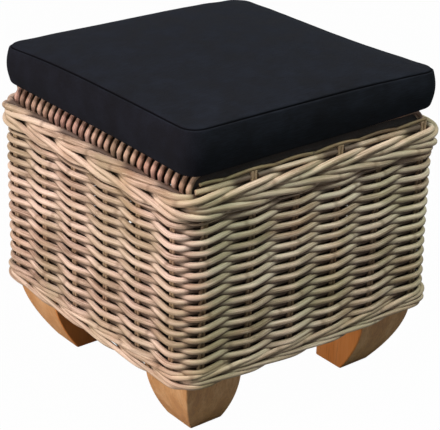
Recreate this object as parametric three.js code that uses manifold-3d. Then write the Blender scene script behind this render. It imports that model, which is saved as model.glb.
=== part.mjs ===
// Outdoor ottoman footstool: a square basket of rattan woven over double stakes,
// on four curved wooden feet, with a rod deck and a loose box cushion on top.
// Millimetres, +Z up. The origin is on the floor, under the middle of the stool.
// Side names: front faces -Y, left faces -X. The deck rods run from left to right.

import * as THREE from 'three';
import { mergeVertices } from 'three/addons/utils/BufferGeometryUtils.js';
import Module from 'manifold-3d';

const wasm = await Module();
wasm.setup();

// Driving dimensions
const bodyWidth = 434; // over the outer faces of the weave
const cornerRadius = 30; // of the body in plan, outside
const skirtHeight = 98.5; // underside of the lower border
const rimHeight = 377; // top of the upper border
const stakesPerSide = 6;
const stakeSet = 6; // from the last stake of a side to the corner's curve
const stakeRod = 5.4; // a stake is two such rods side by side
const stakeMargin = 1.6; // a strand stays flat this far past a stake's edge
const stubHeight = 7; // every second stake stands this far out of the rim
const strand = 7; // thickness of a weaver
const rowPitch = 15.3; // height from one turn of a weaver to its next
const upperBorderRod = 9.2;
const lowerBorderRod = 7.8;
const rimRod = 6;

// Clearances
const fitGap = 0.3; // between pieces that touch on the real stool
const weldGap = 0.0003; // points nearer than this are one point
const weaveGap = 0.36; // between strands that cross
const holeGap = 0.3; // round a bolt, on the radius
const cutOverrun = 1; // how far a cutting shape runs past the face that it opens

// Frame, feet and bolts
const baseRailWidth = 36;
const baseRailHeight = 26;
const boardThickness = 4; // closes the basket's bottom, on the base frame
const topRailWidth = 30;
const topRailHeight = 24;
const topRailEase = 5; // bevel of its outer top edge, where the deck rods bend over it
const postWidth = 30;
const cornerRoom = 4; // between the strands and the frame's bevelled corners
const footInset = 15; // of a foot's outer faces from the body's, at the top
const footUndercut = 45; // how far those faces curve in on their way to the floor
const footSpan = 108.5; // from the body's face to the foot's inner face
const footArcSteps = 8;
const boltDiameter = 8;
const boltReach = 36; // into the foot below and the post above
const boltSides = 8;

// Deck of rods
const deckRod = 8;
const deckRodCount = 28;
const deckBend = 9; // radius of a rod's bend, on its centre line
const deckBendSteps = 2;
const deckRise = 23; // from the rim to the top of the rods
const battenReach = 100; // of the two battens from the middle
const battenWidth = 16;
const battenHeight = 7;
const battenBite = 1; // how deep the rods are bedded in the battens

// Cushion
const cushionWidth = 421; // over the bulge of its sides
const cushionCorner = 26; // in plan
const cushionSide = 50; // height of the side panel
const cushionCrown = 11; // rise of the top over its seam
const cushionBulge = 5; // of the side panel past its seams
const cushionDrop = 5; // of the seams at the corners
const cushionDraw = 4; // how far the sides are drawn in at mid length
const cushionEdge = 7; // rounding between the side panel and the faces

// Derived places
const half = bodyWidth / 2;
const stakeHalf = half - strand - weaveGap - stakeRod / 2; // stake centre line
const stakeReach = half - cornerRadius - stakeSet; // from the middle of a side
const stakePitch = 2 * stakeReach / (stakesPerSide - 1);
const stakeFlat = stakeRod + stakeMargin; // half the length that a strand lies flat
const strandThrow = throwOf(strand);
const borderBulk = throwOf(upperBorderRod) + upperBorderRod / 2;
const frameHalf = stakeHalf - borderBulk - fitGap;
const cornerEase = frameHalf - stakeReach - stakeFlat + cornerRoom * Math.SQRT2; // legs of its bevels
const footTop = skirtHeight - fitGap;
const baseBottom = footTop + fitGap;
const baseTop = baseBottom + baseRailHeight;
const deckTop = rimHeight + deckRise;
const topFrameTop = deckTop - deckRod - fitGap;
const topFrameBottom = topFrameTop - topRailHeight;
const postCentre = frameHalf - postWidth / 2;
const deckEnd = frameHalf + fitGap + deckRod / 2; // centre line of a rod's turned-down end
const deckPitch = 2 * frameHalf / (deckRodCount - 1);
const battenTop = deckTop - deckRod + battenBite;
const battenBottom = battenTop - battenHeight;
const lowerBorderTop = skirtHeight + borderHeight(lowerBorderRod);
const upperBorderBottom = rimHeight - borderHeight(upperBorderRod);

function throwOf(rod) {
  return rod / 2 + weaveGap + stakeRod / 2;
}

// A border is two courses of waling, one over the other.
function courseHeight(rod) {
  return 2 * (rod + weaveGap);
}

function borderHeight(rod) {
  return 2 * courseHeight(rod) + weaveGap;
}

// Solids and booleans

function toSolid(geometry) {
  const bare = geometry.clone();
  bare.deleteAttribute('normal');
  bare.deleteAttribute('uv');
  const merged = mergeVertices(bare, weldGap);
  return new wasm.Manifold(new wasm.Mesh({
    numProp: 3,
    vertProperties: new Float32Array(merged.attributes.position.array),
    triVerts: new Uint32Array(merged.index.array),
  }));
}

function toGeometry(solid) {
  const mesh = solid.getMesh();
  const geometry = new THREE.BufferGeometry();
  geometry.setAttribute('position', new THREE.BufferAttribute(mesh.vertProperties, 3));
  geometry.setIndex(new THREE.BufferAttribute(mesh.triVerts, 1));
  geometry.computeVertexNormals();
  return geometry;
}

function join(solids) {
  return solids.reduce((whole, piece) => whole.add(piece));
}

function boxBetween(low, high) {
  const size = high.map((value, axis) => value - low[axis]);
  const middle = high.map((value, axis) => (value + low[axis]) / 2);
  return new THREE.BoxGeometry(...size).translate(...middle);
}

function roundBar(radius, bottom, top, sides) {
  const bar = new THREE.CylinderGeometry(radius, radius, top - bottom, sides);
  return bar.rotateX(Math.PI / 2).translate(0, 0, (top + bottom) / 2);
}

// A path through given points, whose section keeps one side facing out of the body.
class StrandPath extends THREE.Curve {
  constructor(points, outward) {
    super();
    this.points = points;
    this.outward = outward;
  }

  getPoint(share) {
    const place = share * (this.points.length - 1);
    const index = Math.min(Math.floor(place), this.points.length - 2);
    return this.points[index].clone().lerp(this.points[index + 1], place - index);
  }

  getSpacedPoints() {
    return this.points;
  }

  computeFrenetFrames() {
    const last = this.points.length - 1;
    const tangents = this.points.map((_, index) => {
      const from = this.points[Math.max(index - 1, 0)];
      const to = this.points[Math.min(index + 1, last)];
      return to.clone().sub(from).normalize();
    });
    const binormals = tangents.map((tangent, index) =>
      tangent.clone().cross(this.outward[index]).normalize());
    const normals = binormals.map((binormal, index) =>
      binormal.clone().cross(tangents[index]).normalize());
    return { tangents, normals, binormals };
  }
}

function squareSection(size) {
  const reach = size / 2;
  return new THREE.Shape([[-1, -1], [1, -1], [1, 1], [-1, 1]].map(([across, up]) =>
    new THREE.Vector2(across * reach, up * reach)));
}

function diamondSection(size) {
  const reach = size / 2;
  return new THREE.Shape([[1, 0], [0, 1], [-1, 0], [0, -1]].map(([across, up]) =>
    new THREE.Vector2(across * reach, up * reach)));
}

function sweep(section, points, outward) {
  return new THREE.ExtrudeGeometry(section, {
    steps: points.length - 1,
    extrudePath: new StrandPath(points, outward),
    bevelEnabled: false,
  });
}

// Stations round the body, one at each edge of a stake, where the strands lie flat.
// Each has its place on the stake line and the direction out of the body.

function sideStakes() {
  return Array.from({ length: stakesPerSide }, (_, index) => index * stakePitch - stakeReach);
}

function sideStations(turn) {
  const spin = new THREE.Matrix4().makeRotationZ(turn);
  const edges = sideStakes().flatMap((along) => [along - stakeFlat, along + stakeFlat]);
  return edges.map((along) => ({
    place: new THREE.Vector3(along, -stakeHalf, 0).applyMatrix4(spin),
    outward: new THREE.Vector3(0, -1, 0).applyMatrix4(spin),
  }));
}

const quarterTurns = [0, 1, 2, 3].map((count) => count * Math.PI / 2);
const stations = quarterTurns.flatMap(sideStations);

function strandPoint(stationNumber, offset, height) {
  const station = stations[stationNumber % stations.length];
  return station.place.clone().addScaledVector(station.outward, offset).setZ(height);
}

// Weavers: two rods that go round and round, each in front of the stakes that
// the other passes behind, half a pitch apart in height.

const weaverFirst = lowerBorderTop + weaveGap + strand / 2;
const weaverLast = upperBorderBottom - weaveGap - strand / 2;
const weaverRise = weaverLast - weaverFirst - rowPitch / 2;
const weaverSteps = Math.floor(weaverRise / rowPitch * stations.length);
const weaverStart = 2 * 3 * stakesPerSide; // its first station, at the back left corner

function weaver(parity) {
  const points = [];
  const outward = [];
  for (let step = 0; step <= weaverSteps; step += 1) {
    const number = weaverStart + step;
    const side = (Math.floor(number / 2) + parity) % 2 === 0 ? 1 : -1;
    const height = weaverFirst + rowPitch * (step / stations.length + parity / 2);
    points.push(strandPoint(number, side * strandThrow, height));
    outward.push(stations[number % stations.length].outward);
  }
  return sweep(squareSection(strand), points, outward);
}

// Waling: three rods, each in front of two stakes and behind one, one stake apart.
// slant is 1 where the rods climb from left to right in front, and -1 where they fall.

function waleRod(rod, middle, slant, lag) {
  const swing = throwOf(rod);
  const lift = (rod / 2 + weaveGap) * slant;
  const course = [
    { offset: -swing, height: -lift },
    { offset: swing, height: -lift },
    { offset: swing, height: -lift },
    { offset: swing, height: lift },
    { offset: swing, height: lift },
    { offset: -swing, height: lift },
  ];
  const start = weaverStart + 2 * lag + 1;
  const points = [];
  const outward = [];
  for (let step = 0; step <= stations.length; step += 1) {
    const { offset, height } = course[step % course.length];
    points.push(strandPoint(start + step, offset, middle + height));
    outward.push(stations[(start + step) % stations.length].outward);
  }
  shorten(points, weaveGap / 2);
  return sweep(diamondSection(rod), points, outward);
}

// The two ends of a rod meet behind a stake, so each is cut back a little.
function shorten(points, length) {
  const last = points.length - 1;
  const cut = (end, next) => end.addScaledVector(next.clone().sub(end).normalize(), length);
  cut(points[0], points[1]);
  cut(points[last], points[last - 1]);
}

// Stakes: two rods side by side, drawn as one outline with a waist between them

function stakePair(top) {
  const radius = stakeRod / 2;
  const corners = [-1, 1].flatMap((side) => stakeRodAngles.map((angle) =>
    new THREE.Vector2(side * (radius + radius * Math.cos(angle)), side * radius * Math.sin(angle))));
  const outline = new THREE.Shape(corners);
  const bars = new THREE.ExtrudeGeometry(outline, { depth: top - skirtHeight, bevelEnabled: false });
  return bars.translate(0, 0, skirtHeight);
}
const stakeRodAngles = [-2, -1, 0, 1, 2].map((count) => count * Math.PI / 3);

// Feet: two outer faces curve in towards the floor, the inner faces are plumb.

function footProfile() {
  const outer = half - footInset;
  const inner = half - footSpan;
  const radius = (footTop ** 2 + footUndercut ** 2) / (2 * footUndercut);
  const sweepAngle = Math.asin(footTop / radius);
  const shape = new THREE.Shape();
  shape.moveTo(inner, footTop);
  shape.lineTo(inner, 0);
  for (let step = footArcSteps; step >= 0; step -= 1) {
    const angle = sweepAngle * step / footArcSteps;
    shape.lineTo(outer - radius * (1 - Math.cos(angle)), footTop - radius * Math.sin(angle));
  }
  shape.closePath();
  return shape;
}

function foot() {
  const run = half;
  const acrossY = new THREE.ExtrudeGeometry(footProfile(), { depth: run, bevelEnabled: false });
  acrossY.rotateX(Math.PI / 2).translate(0, run, 0);
  const acrossX = acrossY.clone().rotateZ(-Math.PI / 2).scale(1, -1, 1);
  flip(acrossX);
  const hole = roundBar(boltDiameter / 2 + holeGap, footTop - boltReach - holeGap,
    footTop + cutOverrun, boltSides).translate(postCentre, postCentre, 0);
  return toGeometry(toSolid(acrossY).intersect(toSolid(acrossX)).subtract(toSolid(hole)));
}

// A mirrored geometry needs its triangles turned to face out again.
function flip(geometry) {
  const position = geometry.attributes.position;
  for (let index = 0; index < position.count; index += 3) {
    for (let axis = 0; axis < 3; axis += 1) {
      const held = position.getComponent(index, axis);
      position.setComponent(index, axis, position.getComponent(index + 1, axis));
      position.setComponent(index + 1, axis, held);
    }
  }
}

// Frame

function cornerBevel(bottom, top) {
  return roundBar(cornerEase, bottom - cutOverrun, top + cutOverrun, 4)
    .translate(frameHalf, frameHalf, 0);
}

function frameRing(width, bottom, top) {
  const inner = frameHalf - width;
  const ring = toSolid(boxBetween([-frameHalf, -frameHalf, bottom], [frameHalf, frameHalf, top]));
  const window = boxBetween([-inner, -inner, bottom - cutOverrun], [inner, inner, top + cutOverrun]);
  const bevels = quarterTurns.map((turn) => cornerBevel(bottom, top).rotateZ(turn));
  return [window, ...bevels].reduce((frame, cut) => frame.subtract(toSolid(cut)), ring);
}

function baseFrame() {
  const holes = quarterTurns.map((turn) =>
    roundBar(boltDiameter / 2 + holeGap, baseBottom - cutOverrun, baseTop + cutOverrun, boltSides)
      .translate(postCentre, postCentre, 0)
      .rotateZ(turn));
  const ring = frameRing(baseRailWidth, baseBottom, baseTop);
  return toGeometry(holes.reduce((frame, hole) => frame.subtract(toSolid(hole)), ring));
}

// The board lies on the rails, between the corner posts.
function baseBoard() {
  const reach = postCentre - postWidth / 2 - fitGap;
  const bottom = baseTop + fitGap;
  return boxBetween([-reach, -reach, bottom], [reach, reach, bottom + boardThickness]);
}

function topFrame() {
  const seatBottom = battenBottom - fitGap;
  const seatHalf = battenWidth / 2 + fitGap;
  const run = frameHalf + cutOverrun;
  const ring = frameRing(topRailWidth, topFrameBottom, topFrameTop);
  const seats = [-1, 1].map((side) => boxBetween(
    [side * battenReach - seatHalf, -run, seatBottom],
    [side * battenReach + seatHalf, run, topFrameTop + cutOverrun]));
  const bevels = [-1, 1].map((side) =>
    new THREE.CylinderGeometry(topRailEase, topRailEase, 2 * run, 4)
      .translate(side * frameHalf, 0, topFrameTop));
  return toGeometry([...seats, ...bevels].reduce((frame, cut) => frame.subtract(toSolid(cut)), ring));
}

function cornerPost() {
  const bottom = baseTop + fitGap;
  const body = boxBetween(
    [postCentre - postWidth / 2, postCentre - postWidth / 2, bottom],
    [postCentre + postWidth / 2, postCentre + postWidth / 2, topFrameBottom - fitGap]);
  const hole = roundBar(boltDiameter / 2 + holeGap, bottom - cutOverrun,
    bottom + boltReach + holeGap, boltSides).translate(postCentre, postCentre, 0);
  const cuts = [hole, cornerBevel(bottom, topFrameBottom)];
  return toGeometry(cuts.reduce((post, cut) => post.subtract(toSolid(cut)), toSolid(body)));
}

function hangerBolt() {
  return roundBar(boltDiameter / 2, footTop - boltReach, baseTop + boltReach, boltSides)
    .translate(postCentre, postCentre, 0);
}

// Deck: parallel rods bedded in two battens, their ends turned down over the frame.

function deckRodPath(y) {
  const level = deckTop - deckRod / 2;
  const straight = deckEnd - deckBend;
  const points = [new THREE.Vector3(-deckEnd, y, rimHeight + fitGap)];
  for (let step = 0; step <= deckBendSteps; step += 1) {
    const angle = Math.PI / 2 * step / deckBendSteps;
    points.push(new THREE.Vector3(
      -straight - deckBend * Math.cos(angle), y, level - deckBend * (1 - Math.sin(angle))));
  }
  const mirrored = points.map((point) => new THREE.Vector3(-point.x, y, point.z)).reverse();
  return [...points, ...mirrored];
}

function deck() {
  const section = squareSection(deckRod);
  const sideways = new THREE.Vector3(0, 1, 0);
  const rods = Array.from({ length: deckRodCount }, (_, index) => {
    const y = (index - (deckRodCount - 1) / 2) * deckPitch;
    const points = deckRodPath(y);
    return toSolid(sweep(section, points, points.map(() => sideways)));
  });
  const battenHalf = (deckRodCount - 1) / 2 * deckPitch;
  const battens = [-1, 1].map((side) => toSolid(boxBetween(
    [side * battenReach - battenWidth / 2, -battenHalf, battenBottom],
    [side * battenReach + battenWidth / 2, battenHalf, battenTop])));
  return toGeometry(join([...battens, ...rods]));
}

// Rods along the rim, where the deck's rod ends leave room for them

function rimBar() {
  const offset = stakeHalf - stakeRod / 2 - fitGap - rimRod / 2;
  const bar = new THREE.CylinderGeometry(rimRod / 2, rimRod / 2, 2 * stakeReach, 8);
  return bar.rotateZ(Math.PI / 2).translate(0, -offset, rimHeight + fitGap + rimRod / 2);
}

// Cushion: rings of points from the middle of its underside to the middle of its top

const cushionSideSteps = 6;
const cushionCornerSteps = 5;
const cushionRing = 4 * (cushionSideSteps + cushionCornerSteps);
const leastCornerShare = 0.3;
const faceShares = [0.05, 0.14, 0.26, 0.38];

// One quarter of an outline, from the start of the right side to the end of its corner.
function cushionQuarter(inset) {
  const reach = cushionWidth / 2 - inset;
  const corner = Math.max(cushionCorner - inset, cushionCorner * leastCornerShare);
  const flat = reach - corner;
  const points = [];
  for (let step = 0; step < cushionSideSteps; step += 1) {
    const along = flat * (2 * step / cushionSideSteps - 1);
    const draw = cushionDraw * (1 - (along / flat) ** 2);
    points.push({ x: reach - draw, y: along, cornerness: Math.abs(along) / reach });
  }
  for (let step = 0; step < cushionCornerSteps; step += 1) {
    const angle = Math.PI / 2 * step / cushionCornerSteps;
    points.push({ x: flat + corner * Math.cos(angle), y: flat + corner * Math.sin(angle), cornerness: 1 });
  }
  return points;
}

function cushion() {
  const bottom = deckTop + fitGap;
  const seamLow = bottom + cushionEdge;
  const seamHigh = bottom + cushionSide;
  const rows = [
    { inset: cushionWidth * faceShares[1], height: bottom, drop: 0 },
    { inset: cushionBulge + cushionEdge, height: bottom, drop: 0 },
    { inset: cushionBulge, height: seamLow, drop: 0 },
    { inset: 0, height: (seamLow + seamHigh) / 2, drop: 0 },
    { inset: cushionBulge, height: seamHigh - cushionEdge, drop: 1 },
    { inset: cushionBulge + cushionEdge * Math.SQRT1_2, height: seamHigh, drop: 1 },
    ...faceShares.map((share) => ({
      inset: cushionBulge + cushionEdge + cushionWidth * share,
      height: seamHigh + cushionCrown * Math.sin(Math.PI * Math.sqrt(share / 2)),
      drop: 1 - 2 * share,
    })),
  ];
  const positions = [0, 0, bottom];
  rows.forEach(({ inset, height, drop }) => {
    quarterTurns.forEach((turn) => {
      cushionQuarter(inset).forEach(({ x, y, cornerness }) => {
        const point = new THREE.Vector2(x, y).rotateAround(new THREE.Vector2(), turn);
        positions.push(point.x, point.y, height - cushionDrop * drop * cornerness ** 2);
      });
    });
  });
  positions.push(0, 0, seamHigh + cushionCrown);
  return ringSolid(positions, rows.length, cushionRing);
}

// Closes stacked rings of points between a first and a last middle point.
function ringSolid(positions, rowCount, perRow) {
  const index = [];
  const at = (row, step) => 1 + row * perRow + step % perRow;
  const top = 1 + rowCount * perRow;
  for (let step = 0; step < perRow; step += 1) {
    index.push(0, at(0, step + 1), at(0, step));
    index.push(top, at(rowCount - 1, step), at(rowCount - 1, step + 1));
    for (let row = 0; row < rowCount - 1; row += 1) {
      index.push(at(row, step), at(row, step + 1), at(row + 1, step + 1));
      index.push(at(row, step), at(row + 1, step + 1), at(row + 1, step));
    }
  }
  const geometry = new THREE.BufferGeometry();
  geometry.setAttribute('position', new THREE.Float32BufferAttribute(positions, 3));
  geometry.setIndex(index);
  geometry.computeVertexNormals();
  return geometry;
}

// Materials

function material(color, roughness, metalness = 0) {
  return new THREE.MeshStandardMaterial({ color, roughness, metalness });
}

const rattan = material('#b99b7a', 0.75);
const paleRattan = material('#c8ad88', 0.72);
const stakeRattan = material('#8a6f55', 0.8);
const deckRattan = material('#7a5a4c', 0.8);
const footWood = material('#b98450', 0.45);
const frameWood = material('#9c7a52', 0.7);
const steel = material('#9a9c9e', 0.35, 1);
const cloth = material('#22252b', 0.9);

// Assembly

const ottoman = new THREE.Group();

function addMesh(parent, name, geometry, surface) {
  const mesh = new THREE.Mesh(geometry, surface.clone());
  mesh.name = name;
  parent.add(mesh);
  return mesh;
}

const cornerNames = ['back_right', 'back_left', 'front_left', 'front_right'];
const sideNames = ['front', 'right', 'back', 'left'];
const footGeometry = foot();
const postGeometry = cornerPost();
const boltGeometry = hangerBolt();
cornerNames.forEach((corner, index) => {
  const group = new THREE.Group();
  group.rotation.z = quarterTurns[index];
  addMesh(group, `foot_${corner}`, footGeometry, footWood);
  addMesh(group, `foot_bolt_${corner}`, boltGeometry, steel);
  addMesh(group, `corner_post_${corner}`, postGeometry, frameWood);
  ottoman.add(group);
});

addMesh(ottoman, 'base_frame', baseFrame(), frameWood);
addMesh(ottoman, 'base_board', baseBoard(), frameWood);
addMesh(ottoman, 'top_frame', topFrame(), frameWood);
addMesh(ottoman, 'deck', deck(), deckRattan);
sideNames.filter((_, index) => index % 2 === 0).forEach((side, index) => {
  addMesh(ottoman, `rim_rod_${side}`, rimBar(), paleRattan).rotation.z = index * Math.PI;
});

const shortStake = stakePair(rimHeight - weaveGap);
const longStake = stakePair(rimHeight + stubHeight);
sideNames.forEach((side, turnCount) => {
  const group = new THREE.Group();
  group.rotation.z = quarterTurns[turnCount];
  sideStakes().forEach((along, index) => {
    const geometry = index % 2 === 1 ? longStake : shortStake;
    const mesh = addMesh(group, `stake_${side}_${index + 1}`, geometry, stakeRattan);
    mesh.position.set(along, -stakeHalf, 0);
  });
  ottoman.add(group);
});

addMesh(ottoman, 'weaver_a', weaver(0), rattan);
addMesh(ottoman, 'weaver_b', weaver(1), rattan);

const borders = [
  { border: 'skirt', rod: lowerBorderRod, bottom: skirtHeight, top: lowerBorderTop },
  { border: 'rim', rod: upperBorderRod, bottom: upperBorderBottom, top: rimHeight },
];
const courses = borders.flatMap(({ border, rod, bottom, top }) => [
  { name: `${border}_lower`, rod, middle: bottom + courseHeight(rod) / 2, slant: -1 },
  { name: `${border}_upper`, rod, middle: top - courseHeight(rod) / 2, slant: 1 },
]);
courses.forEach(({ name, rod, middle, slant }) => {
  for (let lag = 0; lag < 3; lag += 1) {
    addMesh(ottoman, `${name}_rod_${lag + 1}`, waleRod(rod, middle, slant, lag), paleRattan);
  }
});

addMesh(ottoman, 'cushion', cushion(), cloth);

export default ottoman;
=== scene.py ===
import math

import bmesh
import bpy
from mathutils import Matrix, Vector

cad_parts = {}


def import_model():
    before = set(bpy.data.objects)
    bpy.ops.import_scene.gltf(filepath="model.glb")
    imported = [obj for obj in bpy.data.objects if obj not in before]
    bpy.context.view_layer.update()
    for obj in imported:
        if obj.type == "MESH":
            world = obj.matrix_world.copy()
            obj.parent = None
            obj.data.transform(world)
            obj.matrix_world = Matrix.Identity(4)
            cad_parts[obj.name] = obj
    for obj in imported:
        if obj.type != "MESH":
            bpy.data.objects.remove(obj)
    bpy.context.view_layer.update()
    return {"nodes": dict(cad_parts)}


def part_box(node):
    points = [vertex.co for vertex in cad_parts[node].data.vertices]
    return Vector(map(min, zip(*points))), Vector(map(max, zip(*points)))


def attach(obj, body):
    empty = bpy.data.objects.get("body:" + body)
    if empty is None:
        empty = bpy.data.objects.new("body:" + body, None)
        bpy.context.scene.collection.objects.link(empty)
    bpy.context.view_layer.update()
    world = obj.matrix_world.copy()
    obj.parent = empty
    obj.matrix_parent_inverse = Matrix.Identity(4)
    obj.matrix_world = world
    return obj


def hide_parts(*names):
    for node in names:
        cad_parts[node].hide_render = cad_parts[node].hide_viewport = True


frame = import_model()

print("frame loaded")


# Helpers for node trees

class Wire:
    # One socket of a node tree. Sums and products of wires add Math nodes.
    def __init__(self, graph, socket):
        self.graph = graph
        self.socket = socket

    def __add__(self, other):
        return self.graph.maths("ADD", self, other)

    __radd__ = __add__

    def __sub__(self, other):
        return self.graph.maths("SUBTRACT", self, other)

    def __rsub__(self, other):
        return self.graph.maths("SUBTRACT", other, self)

    def __mul__(self, other):
        return self.graph.maths("MULTIPLY", self, other)

    __rmul__ = __mul__

    def __truediv__(self, other):
        return self.graph.maths("DIVIDE", self, other)

    def __mod__(self, other):
        return self.graph.maths("FLOORED_MODULO", self, other)

    def other(self, name):
        return Wire(self.graph, self.socket.node.outputs[name])


class Graph:
    # Adds nodes to one tree.
    def __init__(self, tree):
        self.tree = tree

    def feed(self, socket, value):
        if isinstance(value, Wire):
            self.tree.links.new(value.socket, socket)
        else:
            socket.default_value = value

    def node(self, kind, settings=None, values=None, output=0):
        made = self.tree.nodes.new(kind)
        for name, value in (settings or {}).items():
            if name == "stops":
                setStops(made.color_ramp, value)
            else:
                setattr(made, name, value)
        for key, value in (values or {}).items():
            self.feed(made.inputs[key], value)
        return Wire(self, made.outputs[output])

    def maths(self, operation, *values):
        return self.node("ShaderNodeMath", {"operation": operation}, dict(enumerate(values)))

    def vectors(self, operation, *values):
        return self.node("ShaderNodeVectorMath", {"operation": operation}, dict(enumerate(values)))

    def stretch(self, vector, scale):
        return self.node("ShaderNodeVectorMath", {"operation": "SCALE"}, {0: vector, "Scale": scale})

    def combine(self, x, y, z):
        return self.node("ShaderNodeCombineXYZ", None, {0: x, 1: y, 2: z})

    def split(self, vector):
        x = self.node("ShaderNodeSeparateXYZ", None, {0: vector})
        return x, x.other("Y"), x.other("Z")

    def noise(self, vector, scale, detail=2.0, roughness=0.5):
        return self.node("ShaderNodeTexNoise", None,
                         {"Vector": vector, "Scale": scale, "Detail": detail, "Roughness": roughness})

    def between(self, value, low, high, newLow=0.0, newHigh=1.0, smooth=True):
        return self.node("ShaderNodeMapRange", {"interpolation_type": "SMOOTHSTEP" if smooth else "LINEAR"},
                         {0: value, 1: low, 2: high, 3: newLow, 4: newHigh})

    def blend(self, factor, first, second):
        return self.node("ShaderNodeMix", {"data_type": "RGBA"}, {0: factor, 6: first, 7: second}, output=2)

    def ramp(self, factor, stops):
        return self.node("ShaderNodeValToRGB", {"stops": stops}, {0: factor})

    def attribute(self, name, output="Fac"):
        return self.node("ShaderNodeAttribute", {"attribute_name": name}, output=output)

    def objectPlace(self):
        return self.node("ShaderNodeTexCoord", output="Object")


def shade(code):
    # A colour written as six hexadecimal digits, in Blender's linear values.
    parts = [int(code[place:place + 2], 16) / 255 for place in (0, 2, 4)]
    linear = [part / 12.92 if part < 0.04045 else ((part + 0.055) / 1.055) ** 2.4 for part in parts]
    return (*linear, 1.0)


def setStops(ramp, stops):
    while len(ramp.elements) < len(stops):
        ramp.elements.new(0.5)
    for element, (place, code) in zip(ramp.elements, stops):
        element.position = place
        element.color = shade(code)


# Geometry Nodes trees

class GeometryGraph(Graph):
    # A Geometry Nodes tree with named inputs. The kind of an input follows its first value.
    kinds = {float: "NodeSocketFloat", int: "NodeSocketInt", bpy.types.Material: "NodeSocketMaterial",
             Vector: "NodeSocketVector", type(None): "NodeSocketGeometry"}

    def __init__(self, name, inputs, outputs):
        super().__init__(bpy.data.node_groups.new(name, "GeometryNodeTree"))
        for label, value in inputs.items():
            self.addSocket(label, "INPUT", value)
        for label, value in outputs.items():
            self.addSocket(label, "OUTPUT", value)
        entry = self.tree.nodes.new("NodeGroupInput")
        self.given = {label: Wire(self, entry.outputs[label]) for label in inputs}
        self.exit = self.tree.nodes.new("NodeGroupOutput")

    def addSocket(self, label, direction, value):
        kind = self.kinds[type(value)]
        socket = self.tree.interface.new_socket(name=label, in_out=direction, socket_type=kind)
        if direction == "INPUT" and value is not None:
            socket.default_value = value

    def give(self, label, wire):
        self.tree.links.new(wire.socket, self.exit.inputs[label])

    def use(self, tree, values, output=0):
        group = self.tree.nodes.new("GeometryNodeGroup")
        group.node_tree = tree
        for key, value in values.items():
            self.feed(group.inputs[key], value)
        return Wire(self, group.outputs[output])

    def keep(self, geometry, name, value, kind="FLOAT"):
        return self.node("GeometryNodeStoreNamedAttribute", {"data_type": kind, "domain": "POINT"},
                         {"Geometry": geometry, "Name": name, "Value": value})

    def end(self, geometry, material):
        # Every tree that makes a piece ends here.
        loose = self.node("GeometryNodeRealizeInstances", None, {"Geometry": geometry})
        self.give("Geometry", self.node("GeometryNodeSetMaterial", None,
                                        {"Geometry": loose, "Material": material}))


def linkPiece(name, mesh):
    piece = bpy.data.objects.new(name, mesh)
    bpy.context.scene.collection.objects.link(piece)
    return piece


def grow(name, tree, values, start=None):
    # Runs a tree on a mesh, an empty one if none is given, and keeps its result as a plain mesh.
    piece = linkPiece(name, start or bpy.data.meshes.new(name))
    modifier = piece.modifiers.new(name, "NODES")
    modifier.node_group = tree
    for item in tree.interface.items_tree:
        if item.in_out == "INPUT" and item.name in values:
            modifier[item.identifier] = values[item.name]
    depsgraph = bpy.context.evaluated_depsgraph_get()
    made = bpy.data.meshes.new_from_object(piece.evaluated_get(depsgraph), depsgraph=depsgraph)
    piece.modifiers.remove(modifier)
    piece.data = made
    made.name = name
    return piece


# Pieces from mesh code

def pieceFrom(mesh, name, material):
    data = bpy.data.meshes.new(name)
    mesh.to_mesh(data)
    mesh.free()
    data.materials.append(material)
    return linkPiece(name, data)


def bridge(mesh, rings):
    # Faces between each ring of points and the next.
    for ring, following in zip(rings, rings[1:]):
        for step in range(len(ring)):
            after = (step + 1) % len(ring)
            mesh.faces.new((ring[step], ring[after], following[after], following[step]))


# The stool's own sizes, read from the frame

def middleOf(node):
    low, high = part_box(node)
    return (low + high) / 2


stakeLow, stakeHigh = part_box("stake_front_1")
stool = {
    "stakesPerSide": 6,
    "stakeReach": -middleOf("stake_front_1").x,
    "stakeHalf": -middleOf("stake_front_1").y,
    "stakeRod": (stakeHigh.x - stakeLow.x) / 2,
    "cornerRadius": 0.03,                # of the body in plan
    "skirt": stakeLow.z,                 # underside of the lower border
    "rim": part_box("rim_upper_rod_1")[1].z,
    "stubTop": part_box("stake_front_2")[1].z,
    "weaveLow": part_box("weaver_a")[0].z,
    "weaveHigh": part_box("weaver_b")[1].z,
}
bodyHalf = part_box("weaver_a")[1].x
stool["cornerOnStakes"] = stool["cornerRadius"] - (bodyHalf - stool["stakeHalf"])
stakeCount = 4 * stool["stakesPerSide"]


# Materials

def paint(name, build):
    material = bpy.data.materials.new(name)
    material.use_nodes = True
    graph = Graph(material.node_tree)
    surface = material.node_tree.nodes["Principled BSDF"]
    build(graph, surface)
    return material


rattanLook = {
    "rodLength": 2.3,         # metres from one rod to the next along a weaver
    "streakShare": 0.42,      # what makes a rod paler or darker, together 1
    "blotchShare": 0.3,
    "rodShare": 0.28,
    "tan": 0.25,              # how strong each of these lies over the rod's own colour
    "tanShade": "a87850",
    "aged": 0.4,
    "agedShade": "8e8966",
    "ring": 0.45,
    "ringShade": "5d4634",
    "ringSpacing": 0.19,      # between the rings of a rattan stem
    "ringWidth": 0.006,
    "rubbedShade": "e6d6bd",
    "behindShadeStrength": 0.85,             # painted shade, where a strand runs behind the stakes
    "behindShadeColour": "2e1a11",
    "roughness": (0.5, 0.72), # of dark and of pale streaks
    "specular": 0.35,
    "bump": 0.0009,
    "bumpStrength": 0.55,
}


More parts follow.
